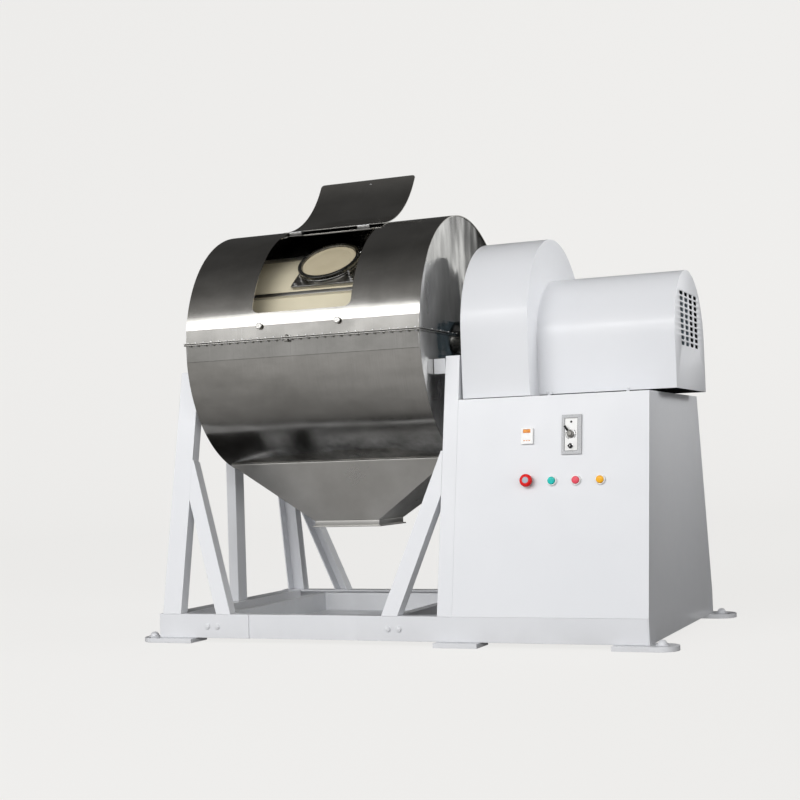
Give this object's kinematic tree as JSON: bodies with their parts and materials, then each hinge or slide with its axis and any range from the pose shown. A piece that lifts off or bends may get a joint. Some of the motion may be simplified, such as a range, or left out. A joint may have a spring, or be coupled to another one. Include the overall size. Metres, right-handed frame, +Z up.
{
  "type": "batch ball mill",
  "caption": "Horizontal drum mill in a round stainless casing with hinged door and discharge hopper, on a welded trestle frame with a cabinet pedestal, guarded geared drive and operator panel.",
  "frame": {"origin": "on the floor under the middle of the whole machine's box, feet included", "axes": "+X along the drum axis towards the motor, -Y the operator's side with the door and the controls, +Z up"},
  "size_m": [1.74, 0.95, 1.5405],
  "materials": {
    "frame_paint": "satin off-white paint",
    "casing_steel": "brushed stainless sheet",
    "satin_steel": "satin stainless sheet",
    "dark_steel": "polished dark steel",
    "cream_paint": "semi-gloss cream paint",
    "cast_paint": "grey-blue machine paint over iron",
    "bright_chrome": "polished chrome",
    "white_plastic": "glossy white plastic",
    "grey_plastic": "grey moulded plastic",
    "black_plastic": "black plastic",
    "red_plastic": "glossy red plastic",
    "green_plastic": "translucent-looking green plastic",
    "pink_plastic": "translucent-looking pink-red plastic",
    "amber_plastic": "translucent-looking amber plastic"
  },
  "bodies": {
    "frame": {"front_base_rail": "frame_paint", "rear_base_rail": "frame_paint", "left_end_rail": "frame_paint", "foot_left_front": "frame_paint", "foot_middle_front": "frame_paint", "foot_right_front": "frame_paint", "foot_left_rear": "frame_paint", "foot_middle_rear": "frame_paint", "foot_right_rear": "frame_paint", "leg_left_front": "frame_paint", "leg_right_front": "frame_paint", "brace_left_front": "frame_paint", "brace_right_front": "frame_paint", "leg_left_rear": "frame_paint", "leg_right_rear": "frame_paint", "brace_left_rear": "frame_paint", "brace_right_rear": "frame_paint", "left_bearing_beam": "frame_paint", "right_bearing_beam": "frame_paint", "left_centre_post": "frame_paint", "drip_tray": "satin_steel", "tray_rack": "frame_paint", "pedestal_cabinet": "frame_paint", "casing_lower": "casing_steel", "casing_upper": "casing_steel", "door_hinge_left": "satin_steel", "door_hinge_right": "satin_steel", "discharge_hopper": "casing_steel", "casing_bracket_left_front": "frame_paint", "casing_bracket_right_front": "frame_paint", "casing_bracket_left_rear": "frame_paint", "casing_bracket_right_rear": "frame_paint", "left_bearing": "cast_paint", "right_bearing": "cast_paint", "gear_reducer": "cast_paint", "drive_motor": "cast_paint", "coupling_guard": "frame_paint", "motor_cover": "frame_paint", "panel_meter": "white_plastic", "switch_plate": "grey_plastic", "start_bezel": "white_plastic", "stop_bezel": "white_plastic", "reset_bezel": "white_plastic"},
    "drum": {"drum_shell": "cream_paint", "drum_end_left": "cream_paint", "drum_end_right": "cream_paint", "manhole_saddle": "satin_steel", "shaft_coupling": "cast_paint", "reducer_output_shaft": "cast_paint"},
    "manhole_cover": {"manhole_ring": "dark_steel", "manhole_lid": "cream_paint"},
    "door": {"access_door": "casing_steel"},
    "left_catch": {"door_catch_left": "satin_steel"},
    "right_catch": {"door_catch_right": "satin_steel"},
    "selector": {"selector_knob": "bright_chrome"},
    "key_lock": {"lock_knob": "black_plastic"},
    "emergency_stop": {"estop_button": "red_plastic"},
    "start_push": {"start_button": "green_plastic"},
    "stop_push": {"stop_button": "pink_plastic"},
    "reset_push": {"reset_button": "amber_plastic"}
  },
  "joints": [
    {"name": "drum_spin", "type": "hinge", "parent": "frame", "child": "drum", "pos_m": [0, 0, 0.941], "axis": [1, 0, 0], "continuous": true},
    {"name": "manhole_lift", "type": "slide", "parent": "drum", "child": "manhole_cover", "axis": [0, -0.6157, 0.788], "range_m": [0, 0.03]},
    {"name": "door_hinge", "type": "hinge", "parent": "frame", "child": "door", "pos_m": [0, -0.1592, 1.32533], "axis": [1, 0, 0], "range_deg": [0, 196]},
    {"name": "left_catch_turn", "type": "hinge", "parent": "frame", "child": "left_catch", "pos_m": [-0.434, -0.41065, 1.00091], "axis": [0, -0.9895, 0.1444], "range_deg": [0, 180]},
    {"name": "right_catch_turn", "type": "hinge", "parent": "frame", "child": "right_catch", "pos_m": [-0.159, -0.41065, 1.00091], "axis": [0, -0.9895, 0.1444], "range_deg": [0, 180]},
    {"name": "selector_turn", "type": "hinge", "parent": "frame", "child": "selector", "pos_m": [0.558, -0.3472, 0.6139], "axis": [0, 0.9835, -0.1808], "range_deg": [0, 70]},
    {"name": "key_lock_turn", "type": "hinge", "parent": "frame", "child": "key_lock", "pos_m": [0.558, -0.35363, 0.57889], "axis": [0, 0.9835, -0.1808], "range_deg": [0, 90]},
    {"name": "emergency_stop_press", "type": "slide", "parent": "frame", "child": "emergency_stop", "axis": [0, 0.9835, -0.1808], "range_m": [0, 0.005]},
    {"name": "start_press", "type": "slide", "parent": "frame", "child": "start_push", "axis": [0, 0.9835, -0.1808], "range_m": [0, 0.003], "stiffness_N_per_m": 500, "springref_m": -0.002},
    {"name": "stop_press", "type": "slide", "parent": "frame", "child": "stop_push", "axis": [0, 0.9835, -0.1808], "range_m": [0, 0.003], "stiffness_N_per_m": 500, "springref_m": -0.002},
    {"name": "reset_press", "type": "slide", "parent": "frame", "child": "reset_push", "axis": [0, 0.9835, -0.1808], "range_m": [0, 0.003], "stiffness_N_per_m": 500, "springref_m": -0.002}
  ]
}
